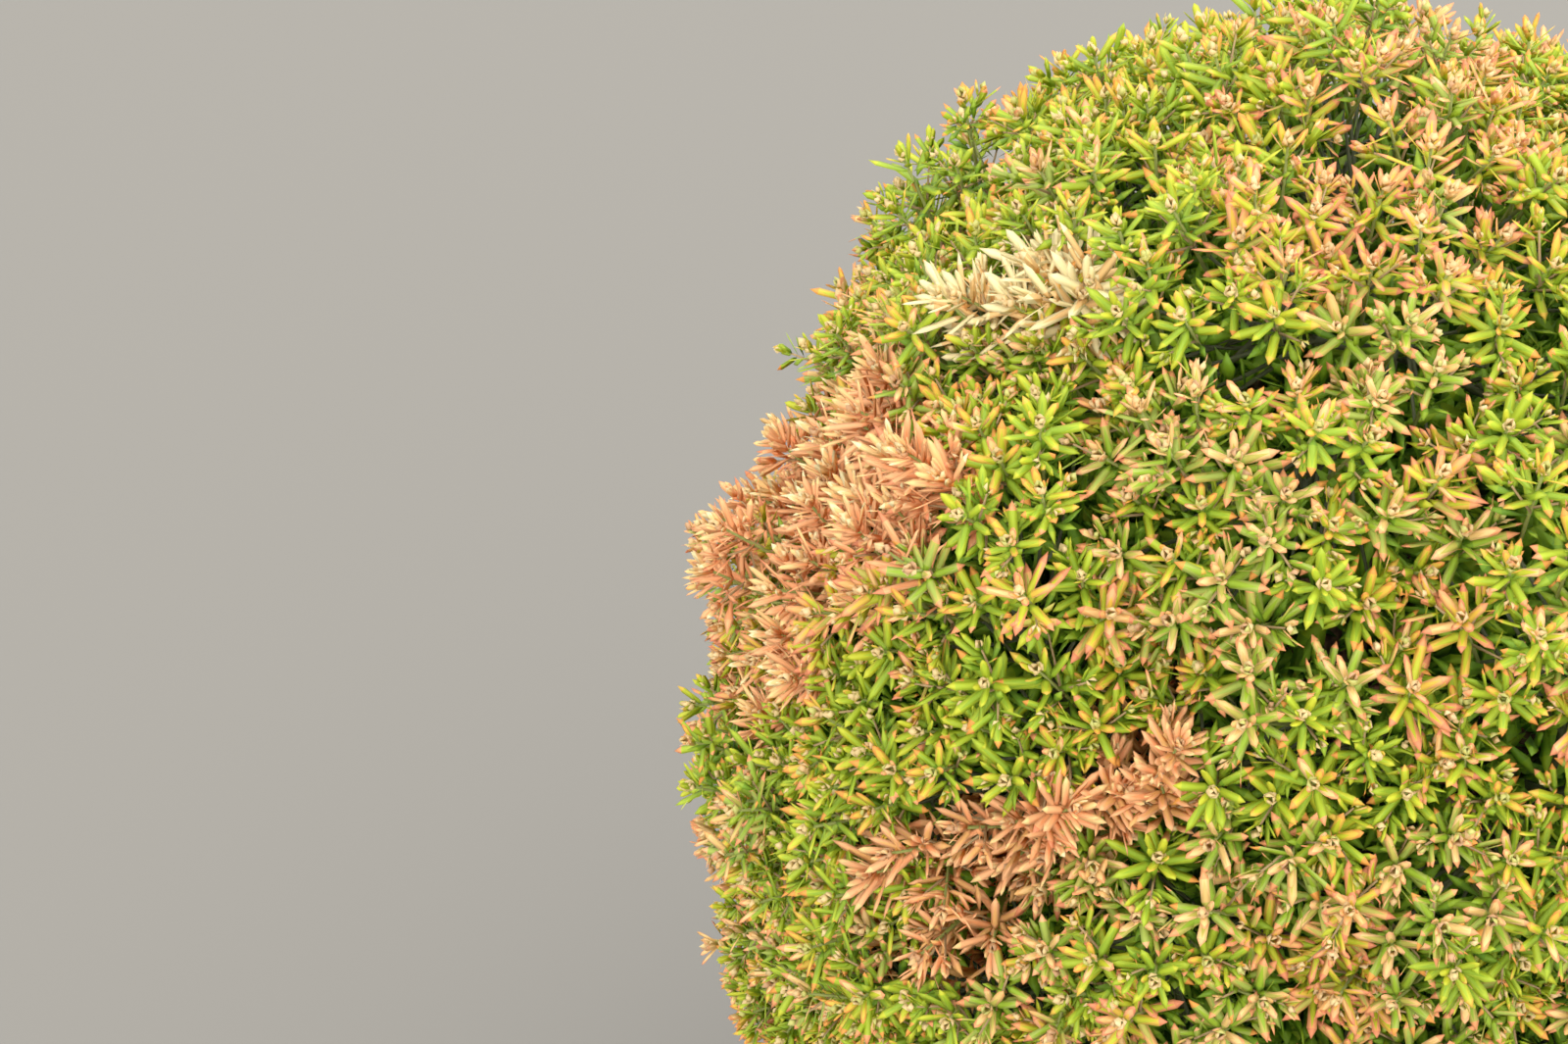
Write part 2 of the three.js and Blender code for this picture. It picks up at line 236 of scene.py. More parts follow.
def joined(parts):
    corners = np.concatenate([part[0] for part in parts])
    starts = np.cumsum([0] + [len(part[0]) for part in parts[:-1]])
    faces = np.concatenate([part[1] + start for part, start in zip(parts, starts)])
    return corners, faces, np.concatenate([part[2] for part in parts])


def repeated(corners, triangles):
    shift = (np.arange(len(corners)) * corners.shape[1])[:, None, None]
    return corners.reshape(-1, 3), (np.array(triangles) + shift).reshape(-1, 3)


# Leaf colours, each one plain tone. A needle takes four of them: foot, body, upper part and tip.
leafTones = dict(deep=(84, 130, 21), dim=(104, 148, 23), mid=(132, 168, 27), fresh=(158, 184, 29),
    lime=(186, 193, 31), gold=(232, 181, 54), sage=(152, 174, 60), olive=(182, 174, 65), tan=(226, 178, 94),
    blush=(242, 168, 88), orange=(238, 144, 52), rose=(232, 126, 80), salmon=(255, 171, 108),
    coral=(250, 149, 88), cream=(255, 234, 164), straw=(255, 198, 118), bronze=(246, 166, 98),
    rust=(222, 144, 80))
toneNames = list(leafTones)

# Each palette has needle styles for young, grown and old needles, dealt at random.
palettes = dict(
    fresh=["fresh lime gold orange, lime lime straw coral, fresh lime gold orange",
        "mid mid fresh orange, mid fresh lime gold, mid fresh fresh coral, dim mid fresh orange",
        "dim mid mid fresh, deep dim mid mid"],
    lime=["fresh lime lime gold, fresh lime gold orange",
        "mid fresh fresh lime, mid fresh lime gold, mid mid fresh lime",
        "dim mid mid fresh, deep dim mid fresh"],
    # The green palette is a step darker than lime: partly the shoots' own green, partly a painted shade for
    # the crown's upper left limb, where the bands take it.
    green=["mid fresh lime lime, fresh fresh lime gold, mid fresh fresh lime",
        "mid mid fresh fresh, mid mid fresh lime, dim mid fresh fresh, dim mid fresh orange",
        "deep dim mid mid, dim mid mid mid"],
    olive=["sage olive tan blush, sage olive straw salmon, olive tan straw coral",
        "mid mid sage coral, mid sage olive coral, mid mid sage orange, dim mid olive coral",
        "dim mid mid sage, deep dim mid sage"],
    tan=["olive tan straw salmon, sage tan straw blush, olive tan straw coral",
        "mid sage olive coral, mid sage sage salmon, mid mid tan rose, dim mid olive coral",
        "dim mid mid sage, deep dim mid sage"],
    # The rose palette's old needles are lighter than the other palettes' old ones, a painted light for the
    # brighter top right of the crown.
    rose=["lime gold salmon rose, gold straw blush rose, lime gold blush coral",
        "lime lime coral rose, fresh lime gold rose, lime olive blush rose, fresh lime gold coral",
        "dim mid fresh lime, mid fresh lime gold"],
    pink=["salmon salmon straw straw, coral salmon straw cream, coral salmon salmon straw",
        "coral salmon salmon straw, coral coral salmon salmon, bronze coral salmon rose,"
        " coral salmon salmon salmon",
        "bronze coral coral salmon, coral coral salmon salmon"],
    bronze=["blush salmon salmon straw, coral salmon salmon straw, blush blush salmon straw",
        "bronze blush salmon salmon, bronze coral salmon salmon, coral blush salmon salmon",
        "rust bronze bronze blush, bronze bronze blush blush"],
    cream=["cream cream cream cream, straw cream cream cream",
        "straw cream cream cream, straw straw cream cream, blush straw straw cream",
        "blush straw straw cream, blush blush straw cream"],
    # Inner palettes: partly the inner needles' own colour, partly a painted glow. They are lighter than old
    # inner needles, and peach under the pink, bronze and cream sprays. This stands in for light that shines
    # through the needles into the crown's depths.
    inner=["dim dim mid mid", "deep dim mid mid, dim dim mid fresh, dim mid mid mid", "dim dim mid mid"],
    innerPinkGlow=["bronze bronze coral coral", "bronze coral coral salmon, bronze blush coral salmon",
        "bronze bronze coral coral"],
    innerCreamGlow=["blush straw straw cream", "blush blush straw straw, blush straw straw cream",
        "blush straw straw straw"])
paletteNames = list(palettes)
dealt = 12  # how many cards each list of styles is dealt from


def dealCards():
    table = np.zeros((len(palettes), 3, dealt, 4), dtype=np.int32)
    for p, rows in enumerate(palettes.values()):
        for age, row in enumerate(rows):
            styles = row.split(", ")
            for card in range(dealt):
                tones = styles[card * len(styles) // dealt].split()
                table[p, age, card] = [toneNames.index(tone) for tone in tones]
    return table


toneCards = dealCards()


# A band in the photograph, between two pixels and with a reach across and up.
def band(start, end, reach, share, take="", lean=(0, 0, 0)):
    return {"ends": (start, end), "reach": reach, "share": share, "take": take.split(), "lean": lean}


# Where the photograph shows shoots of another colour: the share of the shoots that take it, the palettes
# that they take, and how they lean. The darker green of the upper left is partly a painted shade, and the
# lighter rose of the top right partly a painted light.
tints = dict(
    creamLeft=band((1016, 292), (1050, 286), (42, 38), 1, "cream", (-0.8, 0.15, 0.15)),
    creamRight=band((1098, 290), (1108, 290), (24, 22), 1, "cream", (0.45, -0.35, 0.4)),
    deadPatch=band((885, 440), (860, 550), (85, 70), 0.95, "pink", (-0.35, 0.2, 0.15)),
    deadTips=band((740, 545), (790, 560), (70, 50), 0.8, "pink rose", (-0.5, 0.0, 0.1)),
    deadFoot=band((760, 670), (880, 640), (70, 70), 0.5, "pink rose", (-0.3, 0.0, 0.1)),
    bronzeUpper=band((1186, 748), (1095, 825), (40, 40), 1, "bronze pink", (0.5, 0.2, 0.15)),
    bronzeMiddle=band((1075, 840), (885, 895), (36, 36), 1, "bronze", (-0.6, -0.1, -0.05)),
    bronzeLower=band((930, 985), (995, 960), (38, 38), 1, "bronze", (0.1, -0.35, -0.25)),
    limeTop=band((1150, 60), (1270, 45), (90, 50), 0.9, "green lime"),
    # The rose here is partly the tips' own colour, partly a painted light (its lighter old needles).
    roseTop=band((1330, 170), (1430, 170), (140, 110), 0.74, "rose"),
    greenRight=band((1420, 780), (1500, 920), (150, 110), 0.4, "green fresh"),
    roseFoot=band((1200, 1000), (1270, 1000), (130, 90), 0.5, "rose"),
    # The green that this band takes is partly a painted shade on the upper left limb.
    limeLeft=band((960, 200), (1120, 160), (190, 170), 0.9, "green lime green fresh"),
    limeRight=band((1570, 80), (1570, 330), (60, 70), 0.8, "lime fresh"),
    greenMiddle=band((1010, 400), (1060, 640), (85, 80), 0.6, "fresh green fresh"),
    greenLeft=band((800, 770), (980, 740), (100, 80), 0.9, "green green green fresh"),
    limeFoot=band((850, 940), (860, 1040), (140, 100), 0.92, "green green lime fresh"))
# Where the outline in the photograph lies a little further in, or further out where the share is below zero.
dents = dict(leftShoulder=band((814, 375), (774, 462), (78, 55), 0.08),
    leftSpray=band((712, 532), (740, 552), (55, 48), -0.04),
    upperLeft=band((905, 150), (1000, 62), (80, 60), -0.028))
mixture = dict(olive=0.4, fresh=0.28, tan=0.13, rose=0.1, green=0.09)
# How far the mixture leans to one colour or another from place to place, and the waves that it leans by.
drifting = dict(strength=0.55, raggedness=0.25,
    waves=[((5, 3, -4), 0.4), ((-4, 6, 2), 1.9), ((3, -5, 6), 3.1), ((6, 2, 5), 4.4), ((-2, -6, 5), 5.2)])

# Shoots: each lobe carries a spiral of them, and each has side shoots below its tip. The skirt's shoots
# stand along the pot's rim.
growth = dict(seed=2207, spacing=6.5, lobeReach=56, depth=22, tipShare=(0.96, 1.02), hubShare=0.6,
    upturn=0.27, stray=0.16, shorten=(0.78, 1.12), bend=0.006, jitter=1.6, start=0.4, rimClear=(1, 4),
    slack=2.0, rooted=6, overRim=(2, 9), sideCounts=(2, 2, 2, 3, 3), sideDown=(6.5, 13.5),
    sideAngle=(34, 56), sideLength=(6.5, 11), sideTurn=0.3, sideRise=0.06, sideScale=(0.85, 1.1),
    sideSpin=0.25)
skirt = dict(count=66, uneven=0.3, out=(122, 130), height=(209, 216), rise=(-0.15, 0.35))
dead = dict(pink=dict(inner="innerPinkGlow", narrow=0.8, longer=1.14, wide=0.88),
    bronze=dict(inner="innerPinkGlow", narrow=0.8, longer=1.14, wide=0.92),
    cream=dict(inner="innerCreamGlow", narrow=0.85, longer=1.32, wide=1.02))
deadFill = dict(doubled="cream", apart=3, between=("pink", "bronze"), share=0.6, turn=0.8, shorter=0.94,
    innerShare=0.8, innerReach=1.15)
mainNeedles = dict(down=[0.5, 1.3, 2.3, 3.5, 5.0, 6.8, 8.9, 11.3, 14.2],
    length=[4.4, 5.9, 7.2, 8.0, 8.4, 8.4, 8.2, 7.9, 7.5], angle=[24, 40, 53, 63, 70, 73, 72, 68, 64],
    turn=[0, 1.2, 2.4, 3.6, 4.8, 6.0, 7.2, 8.4, 9.6], age=[0, 0, 0, 1, 1, 1, 1, 2, 2])
sideNeedles = dict(down=[0.4, 1.7, 3.2, 4.9], length=[4.2, 5.8, 6.5, 6.5], angle=[20, 36, 49, 57],
    turn=[0.0, 0.6, -0.4, 0.9], age=[0, 1, 1, 1])
needle = dict(leastWidth=0.86, slender=0.13, widest=2.05, crown=0.18, bow=0.07, turnOff=13, angleOff=8,
    rollOff=16, lengthOff=0.13, out=0.25, slack=3.0, fine=[(0.14, 0.78), (0.58, 1.0), (0.86, 0.78)],
    plain=[(0.2, 0.84), (0.78, 0.9)], coarse=[(0.6, 1.0)])
# Needles deep in the crown, coloured from the inner palettes, whose lightness is partly a painted glow.
innerNeedles = [
    dict(seed=631, count=16500, share=(0.64, 0.88), length=(9.5, 12.5), stout=1.35, lean=0.9),
    dict(seed=632, count=5200, share=(0.46, 0.68), length=(14, 20), stout=2.7, lean=1.4)]
chance = np.random.default_rng(growth["seed"])


def bandReach(pixels, band):
    start, end = np.array(band["ends"], float)
    reach = np.array(band["reach"], float)
    points = pixels / reach
    start, run = start / reach, (end - start) / reach
    share = np.clip(((points - start) @ run) / max(run @ run, 1e-9), 0, 1)
    return np.linalg.norm(points - start - share[:, None] * run, axis=1)


def drawIn(tips):
    pixels, _ = photoPlace(tips)
    for dent in dents.values():
        near = np.clip(1 - bandReach(pixels, dent) ** 2, 0, 1)
        tips = crown["middle"] + (tips - crown["middle"]) * (1 - dent["share"] * near)[:, None]
    return tips


def indexesOf(names):
    return [paletteNames.index(name) for name in names]


def choosePalettes(tips):
    toward, count = fromMiddle(tips), len(tips)
    drift = np.stack([np.sin(toward @ np.array(wave) + phase) for wave, phase in drifting["waves"]], 1)
    weights = np.array(list(mixture.values())) * np.exp(drifting["strength"] * drift)
    edges = np.cumsum(weights / weights.sum(axis=1, keepdims=True), axis=1)
    pick = (chance.random(count)[:, None] > edges).sum(axis=1).clip(0, len(mixture) - 1)
    chosen = np.array(indexesOf(mixture))[pick]
    pixels, free = photoPlace(tips)
    lean = np.zeros((count, 3))
    for tint in tints.values():
        ragged = 1 + drifting["raggedness"] * wobble(chance, count, 1.5)
        taken = free & (bandReach(pixels, tint) < ragged) & (chance.random(count) < tint["share"])
        takes = indexesOf(tint["take"])
        chosen[taken] = np.array(takes)[chance.integers(0, len(takes), taken.sum())]
        lean[taken] = tint["lean"]
        free = free & ~taken
    return chosen, lean


# Inner needles under the pink, bronze and cream sprays take the peach inner palettes, a painted warm glow.
def deadInside(points):
    pixels, seen = photoPlace(points)
    chosen = np.full(len(points), paletteNames.index("inner"))
    for tint in tints.values():
        first = tint["take"][0]
        if first in dead and tint["share"] >= deadFill["innerShare"]:
            inner = paletteNames.index(dead[first]["inner"])
            chosen[seen & (bandReach(pixels, tint) < deadFill["innerReach"])] = inner
    return chosen


def strayed(axis):
    return unit(axis + growth["stray"] * wobble(chance, axis.shape, 1.5))


def layOutShoots():
    tips, axes = [], []
    for lobe, toward in enumerate(lobeToward):
        reach = surfaceReach(toward[None])[0]
        first, second = acrossOf(toward[None])
        steps = np.arange(int((growth["lobeReach"] / growth["spacing"]) ** 2))
        out = growth["spacing"] * np.sqrt(steps + growth["start"])
        around = steps * goldenAngle + chance.random() * fullTurn
        jitter = chance.uniform(-growth["jitter"], growth["jitter"], (2, len(steps)))
        places = toward * reach + first * (out * np.cos(around) + jitter[0])[:, None]
        places = unit(places + second * (out * np.sin(around) + jitter[1])[:, None])
        places = places[np.argmax(places @ lobeToward.T, axis=1) == lobe]
        share = chance.uniform(*growth["tipShare"], len(places))
        tip = crown["middle"] + places * (surfaceReach(places) * share)[:, None]
        out, up = np.hypot(tip[:, 0], tip[:, 1]) - potSpace["radius"], tip[:, 2] - potSpace["top"]
        low = (out < growth["rimClear"][0]) & (up < growth["rimClear"][1])
        tip[low, 2] = potSpace["top"] + chance.uniform(*growth["overRim"], low.sum())
        hub = crown["middle"] + toward * reach * growth["hubShare"]
        axis = strayed(unit(tip - hub) + [0, 0, growth["upturn"]])
        kept = insideCrown(tip, growth["slack"]) & insideCrown(tip - axis * growth["rooted"])
        tips.append(tip[kept])
        axes.append(axis[kept])
    tip, axis = skirtShoots()
    return np.concatenate(tips + [tip]), np.concatenate(axes + [axis])


def skirtShoots():
    count = skirt["count"]
    uneven = chance.uniform(-skirt["uneven"], skirt["uneven"], count)
    around = (np.arange(count) + uneven) * 2 * math.pi / count
    out = chance.uniform(*skirt["out"], count)
    tip = onRing(out, around, chance.uniform(*skirt["height"], count))
    return tip, strayed(onRing(1, around, chance.uniform(*skirt["rise"], count)))


def downShoot(tips, axes, bends, down):
    return tips - axes * down[..., None] + bends * (down ** 2)[..., None]


# The arrays of one set of blades, each with one row for each blade.
def listed(length, **arrays):
    arrays["length"] = length
    return {label: array.reshape(length.size, *array.shape[length.ndim:]) for label, array in arrays.items()}


def needlesAlong(tips, axes, bends, spins, scale, plan, first, narrow):
    second = np.cross(axes, first)
    down = np.array(plan["down"]) * scale[:, None]
    turn = spins[:, None] + np.array(plan["turn"])
    turn = np.stack([turn, turn + math.pi], axis=2)
    turn += np.radians(needle["turnOff"]) * wobble(chance, turn.shape)
    angle = np.array(plan["angle"])[:, None] * narrow[:, None, None]
    angle = np.radians(angle + needle["angleOff"] * wobble(chance, turn.shape))
    length = np.array(plan["length"])[:, None] * scale[:, None, None]
    length = length * (1 + needle["lengthOff"] * wobble(chance, turn.shape))
    out = between(first[:, None, None], second[:, None, None], turn)
    axis = axes[:, None, None]
    along = between(axis, out, angle)
    face = between(-out, axis, angle)
    foot = downShoot(tips[:, None], axes[:, None], bends[:, None], down)[:, :, None] + out * needle["out"]
    roll = np.radians(needle["rollOff"]) * wobble(chance, turn.shape)
    face = between(face, np.cross(along, face), roll)
    owner, level, _ = np.indices(turn.shape)
    return listed(length, foot=foot, along=along, face=face, level=level, owner=owner,
        age=np.array(plan["age"])[level])


def sideShoots():
    counts = np.array(growth["sideCounts"])[chance.integers(0, len(growth["sideCounts"]), len(tips))]
    owner = np.repeat(np.arange(len(tips)), counts)
    order = np.arange(len(owner)) - np.repeat(np.cumsum(counts) - counts, counts)
    first, second = acrossOf(axes[owner])
    down = chance.uniform(*growth["sideDown"], len(owner)) * scale[owner]
    turn = spins[owner] + 0.5 * math.pi + order * math.pi + (order // 2) * 0.5 * math.pi
    turn += growth["sideTurn"] * chance.standard_normal(len(owner))
    angle = np.radians(chance.uniform(*growth["sideAngle"], len(owner)))
    axis = between(axes[owner], between(first, second, turn), angle)
    foot = downShoot(tips[owner], axes[owner], bends[owner], down)
    length = chance.uniform(*growth["sideLength"], len(owner)) * scale[owner]
    axis = unit(axis + [0, 0, growth["sideRise"]])
    return {"owner": owner, "foot": foot, "axis": axis, "tip": foot + axis * length[:, None]}


# Flat blades, each with rings of three corners between a foot and a tip.
def bladeCorners(blades, half, crest, rings):
    foot, along, face, length = [blades[label] for label in ("foot", "along", "face", "length")]
    side = np.cross(along, face)
    bow = blades["bow"] * length
    corners = [foot]
    for share, wide in rings:
        middle = foot + along * (length * share)[:, None] + face * (bow * share ** 2)[:, None]
        out = (half * wide)[:, None]
        corners += [middle - side * out, middle + face * out * crest, middle + side * out]
    corners.append(foot + along * length[:, None] + face * bow[:, None])
    return np.stack(corners, axis=1)


def bladeTriangles(ringCount):
    triangles, zones = [], []
    zoneOf = {3: [0, 1, 2, 3], 2: [0, 1, 3], 1: [0, 1]}[ringCount]
    for k in range(3):
        nextK = (k + 1) % 3
        triangles.append((0, 1 + nextK, 1 + k))
        zones.append(zoneOf[0])
        for ring in range(ringCount - 1):
            low, high = 1 + 3 * ring, 4 + 3 * ring
            across = (nextK, k) if k == 1 else (k, nextK)
            triangles.append((low + k, low + nextK, high + across[1]))
            triangles.append((low + across[0], high + nextK, high + k))
            zones += [zoneOf[ring + 1], min(zoneOf[ring + 1] + 1, 3)]  # the margin colours before the middle
        last = 3 * ringCount - 2
        triangles.append((last + k, last + nextK, 3 * ringCount + 1))
        zones.append(zoneOf[-1])
    return triangles, zones


def needleMesh(needles, keep, kind):
    needles = chosenOf(needles, keep)
    half = np.minimum(needle["leastWidth"] + needles["length"] * needle["slender"], needle["widest"]) / 2
    corners = bladeCorners(needles, half * needles["stout"], needle["crown"], needle[kind])
    triangles, zones = bladeTriangles(len(needle[kind]))
    return *repeated(corners, triangles), needles["tones"][:, zones].reshape(-1)


def chosenOf(needles, keep):
    return {label: values[keep] for label, values in needles.items()}


def finishNeedles(needles, palette, draw):
    needles["bow"] = needle["bow"] * wobble(draw, len(palette))
    needles["tones"] = toneCards[palette, needles["age"], draw.integers(0, dealt, len(palette))]
    needles.setdefault("stout", np.ones(len(palette)))
    foot, slack = needles["foot"], needle["slack"]
    tip = foot + needles["along"] * needles["length"][:, None]
    return chosenOf(needles, insideCrown(foot, slack) & insideCrown(tip, slack))


def growMain(rows, turn=0.0, shorter=1.0):
    needles = needlesAlong(tips[rows], axes[rows], bends[rows], spins[rows] + turn, scale[rows] * shorter,
        mainNeedles, acrossOf(axes)[0][rows], narrow[rows])
    needles["owner"] = rows[needles["owner"]]
    return needles


tips, axes = layOutShoots()
tips = drawIn(tips)
shootPalette, lean = choosePalettes(tips)
again = np.flatnonzero(shootPalette == paletteNames.index(deadFill["doubled"]))
tips = np.concatenate([tips, tips[again] + deadFill["apart"] * wobble(chance, (len(again), 3), 1.2)])
axes, shootPalette, lean = [np.concatenate([whole, whole[again]]) for whole in (axes, shootPalette, lean)]
scale = chance.uniform(*growth["shorten"], len(tips))
spins = chance.uniform(0, 2 * math.pi, len(tips))
bends = growth["bend"] * acrossOf(axes)[0] * chance.standard_normal((len(tips), 1))
narrow, wide = np.ones(len(tips)), np.ones(len(tips))
for name, change in dead.items():
    mine = shootPalette == paletteNames.index(name)
    narrow[mine], wide[mine] = change["narrow"], change["wide"]
    scale[mine] *= change["longer"]
axes = unit(axes + lean)
sides = sideShoots()
sides = chosenOf(sides, insideCrown(sides["tip"], 0.5))
sideScale = scale[sides["owner"]] * chance.uniform(*growth["sideScale"], len(sides["owner"]))
sideSpins = growth["sideSpin"] * chance.standard_normal(len(sideScale))
fanned = unit(np.cross(axes[sides["owner"]], sides["axis"]))
shootMass = np.argmax(fromMiddle(tips) @ massToward.T, axis=1)
print(f"{len(tips)} shoots and {len(sideScale)} side shoots laid out")

mainSet = growMain(np.arange(len(tips)))
isDead = np.isin(shootPalette, indexesOf(deadFill["between"]))
fuller = np.flatnonzero(isDead & (chance.random(len(tips)) < deadFill["share"]))
betweenSet = growMain(fuller, deadFill["turn"], deadFill["shorter"])
mainSet = {key: np.concatenate([mainSet[key], betweenSet[key]]) for key in mainSet}
mainSet["mass"] = shootMass[mainSet["owner"]]
mainSet["stout"] = wide[mainSet["owner"]]
mainSet = finishNeedles(mainSet, shootPalette[mainSet["owner"]], chance)
sideSet = needlesAlong(sides["tip"], sides["axis"], np.zeros((len(sideScale), 3)), sideSpins, sideScale,
    sideNeedles, fanned, narrow[sides["owner"]])
sideOwner = sides["owner"][sideSet["owner"]]
sideSet["mass"] = shootMass[sideOwner]
sideSet = finishNeedles(sideSet, shootPalette[sideOwner], chance)


def growInner(layer):
    draw = np.random.default_rng(layer["seed"])
    count = layer["count"]
    height = draw.uniform(math.cos(math.radians(lobing["lowest"])), 1, count)
    toward = onRing(np.sqrt(1 - height ** 2), draw.uniform(0, 2 * math.pi, count), height)
    foot = crown["middle"] + toward * (surfaceReach(toward) * draw.uniform(*layer["share"], count))[:, None]
    along = unit(toward + layer["lean"] * draw.standard_normal((count, 3)))
    face = unit(np.cross(along, draw.standard_normal((count, 3))))
    needles = {"foot": foot, "along": along, "face": face, "length": draw.uniform(*layer["length"], count),
        "stout": np.full(count, layer["stout"]), "age": np.ones(count, int),
        "mass": np.argmax(toward @ massToward.T, axis=1)}
    return finishNeedles(needles, deadInside(foot), draw)


innerSets = [growInner(layer) for layer in innerNeedles]
leafLook = {"roughness": 0.52, "Specular IOR Level": 0.2}
leafMaterials = [plainMaterial(f"leaf{name.capitalize()}", shade, **leafLook)
    for name, shade in leafTones.items()]
# Pairs from the tip that get the finest needles, and the first pairs that lie hidden.
detail = dict(fine=2, hidden=7, sideHidden=3, pieceLimit=185000)


def massNeedles(number):
    main, aside = mainSet["mass"] == number, sideSet["mass"] == number
    fine, hidden = mainSet["level"] < detail["fine"], mainSet["level"] >= detail["hidden"]
    sideHidden = sideSet["level"] >= detail["sideHidden"]
    return joined([needleMesh(mainSet, main & fine, "fine"), needleMesh(mainSet, main & hidden, "coarse"),
        needleMesh(mainSet, main & ~(fine | hidden), "plain"),
        needleMesh(sideSet, aside & ~sideHidden, "plain"), needleMesh(sideSet, aside & sideHidden, "coarse"),
        *[needleMesh(inner, inner["mass"] == number, "coarse") for inner in innerSets]])


def growNeedles():
    batches, size = [[]], 0
    for number, mass in enumerate(masses):
        part = massNeedles(number)
        if batches[-1] and size + len(part[1]) > detail["pieceLimit"]:
            batches.append([])
            size = 0
        batches[-1].append((mass["label"], part))
        size += len(part[1])
    for i, batch in enumerate(batches):
        piece = meshPiece(f"needles{i + 1}", [part for _, part in batch], leafMaterials)
        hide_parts(*[f"foliage_{label}" for label, _ in batch])


growNeedles()

# Bud scales: a small ear of overlapping scales at the tip of every shoot. A palette with no deal takes
# the first tone.
buds = dict(mainScales=6, sideScales=2, sideSize=0.85, length=2.5, uneven=(0.8, 1.15), slender=0.82,
    crest=0.7, spread=(3, 24), spreadOff=0.12, start=0.9, step=0.34, out=0.2, roughness=0.6,
    tones=dict(budCream=(232, 196, 124), budTan=(226, 180, 112), budGreen=(190, 190, 86),
        budBrown=(196, 142, 92), budPale=(246, 208, 142)),
    deals=dict(fresh="budGreen budCream budTan budGreen", lime="budGreen budCream",
        olive="budCream budTan budGreen budBrown", tan="budTan budCream budBrown",
        rose="budCream budTan budPale", pink="budTan budPale budBrown", bronze="budTan budBrown",
        cream="budPale"))


def budEars(tips, axes, owner, count, size):
    first, second = acrossOf(axes)
    order = np.arange(count)
    turn = chance.uniform(0, fullTurn, (len(tips), 1)) + order * goldenAngle
    out = between(first[:, None], second[:, None], turn)
    spread = np.radians(np.interp(order / max(count - 1, 1), [0, 1], buds["spread"]))
    angle = spread + buds["spreadOff"] * chance.standard_normal(turn.shape)
    axis = axes[:, None]
    foot = tips[:, None] + axis * (buds["start"] - order * buds["step"] * size)[:, None] + out * buds["out"]
    length = buds["length"] * size * chance.uniform(*buds["uneven"], turn.shape)
    return listed(length, foot=foot, along=between(axis, out, angle), face=between(out, -axis, angle),
        bow=0 * length, owner=np.repeat(owner, count))


def growBuds():
    budNames = list(buds["tones"])
    triangles, _ = bladeTriangles(1)
    ears = [budEars(tips, axes, np.arange(len(tips)), buds["mainScales"], 1.0),
        budEars(sides["tip"], sides["axis"], sides["owner"], buds["sideScales"], buds["sideSize"])]
    parts = []
    for scales in ears:
        palette = shootPalette[scales["owner"]]
        tones = np.zeros(len(palette), int)
        for name, deal in buds["deals"].items():
            mine = palette == paletteNames.index(name)
            names = [budNames.index(tone) for tone in deal.split()]
            tones[mine] = np.array(names)[chance.integers(0, len(names), mine.sum())]
        half = scales["length"] * buds["slender"] / 2
        corners = bladeCorners(scales, half, buds["crest"], [(0.5, 1.0)])
        parts.append((*repeated(corners, triangles), np.repeat(tones, len(triangles))))
    meshPiece("buds", parts, toneMaterials(buds))


growBuds()

# Twigs: each mass has a stem from its bough, forks to its lobes and branches on to every shoot.
twigs = dict(stemShare=0.5, forkShare=0.7, lobeShare=0.84, stem=(2.2, 1.5), lobeTwig=(1.2, 0.7),
    lobeSag=0.05, branch=(0.55, 0.4), branchSag=0.06, branchFrom=(0.35, 0.95), shoot=(0.5, 0.32),
    side=(0.34, 0.22), roughness=0.75,
    tones=dict(twigBrown=(50, 58, 22), twigGreen=(128, 138, 52), twigTan=(168, 134, 84)))


def twigTubes(starts, ends, radii, tone, sag=0.0):
    axis = ends - starts
    first, second = acrossOf(unit(axis))
    middle = (starts + ends) / 2 - np.array([0, 0, sag]) * np.linalg.norm(axis, axis=1)[:, None]
    corners = np.empty((len(starts), 9, 3))
    for ring, (centre, radius) in enumerate(((starts, radii[0]), (middle, sum(radii) / 2), (ends, radii[1]))):
        for k in range(3):
            turn = 2 * math.pi * k / 3
            corners[:, 3 * ring + k] = centre + radius * (first * math.cos(turn) + second * math.sin(turn))
    triangles = [(0, 2, 1), (6, 7, 8)]
    for ring in (0, 3):
        for k in range(3):
            low, high, nextK = ring + k, ring + 3 + k, (k + 1) % 3
            triangles += [(low, ring + nextK, ring + 3 + nextK), (low, ring + 3 + nextK, high)]
    return *repeated(corners, triangles), np.full(len(triangles) * len(starts), tone)


def growTwigs():
    middle = crown["middle"]
    reach = outlineReach(massToward)[:, None]
    fork = middle + massToward * reach * twigs["forkShare"]
    lobePlace = middle + lobeToward * (surfaceReach(lobeToward) * twigs["lobeShare"])[:, None]
    lobeFork = fork[lobeMass]
    nearest = np.argmax(fromMiddle(tips) @ lobeToward.T, axis=1)
    feet = downShoot(tips, axes, bends, growth["depth"] * scale)
    share = chance.uniform(*twigs["branchFrom"], len(feet))[:, None]
    joint = lobeFork[nearest] + (lobePlace[nearest] - lobeFork[nearest]) * share
    parts = [twigTubes(middle + massToward * reach * twigs["stemShare"], fork, twigs["stem"], 0),
        twigTubes(lobeFork, lobePlace, twigs["lobeTwig"], 0, twigs["lobeSag"]),
        twigTubes(joint, feet, twigs["branch"], 0, twigs["branchSag"]),
        twigTubes(feet, tips, twigs["shoot"], 1), twigTubes(sides["foot"], sides["tip"], twigs["side"], 2)]
    meshPiece("twigs", parts, toneMaterials(twigs))


growTwigs()

# The uneven grain that most materials share, as one shader group, and short names for its nodes.
grainLook = dict(detail=6.0, edge=0.65, finer=5.3, fineDetail=3.0, fineShare=0.35)


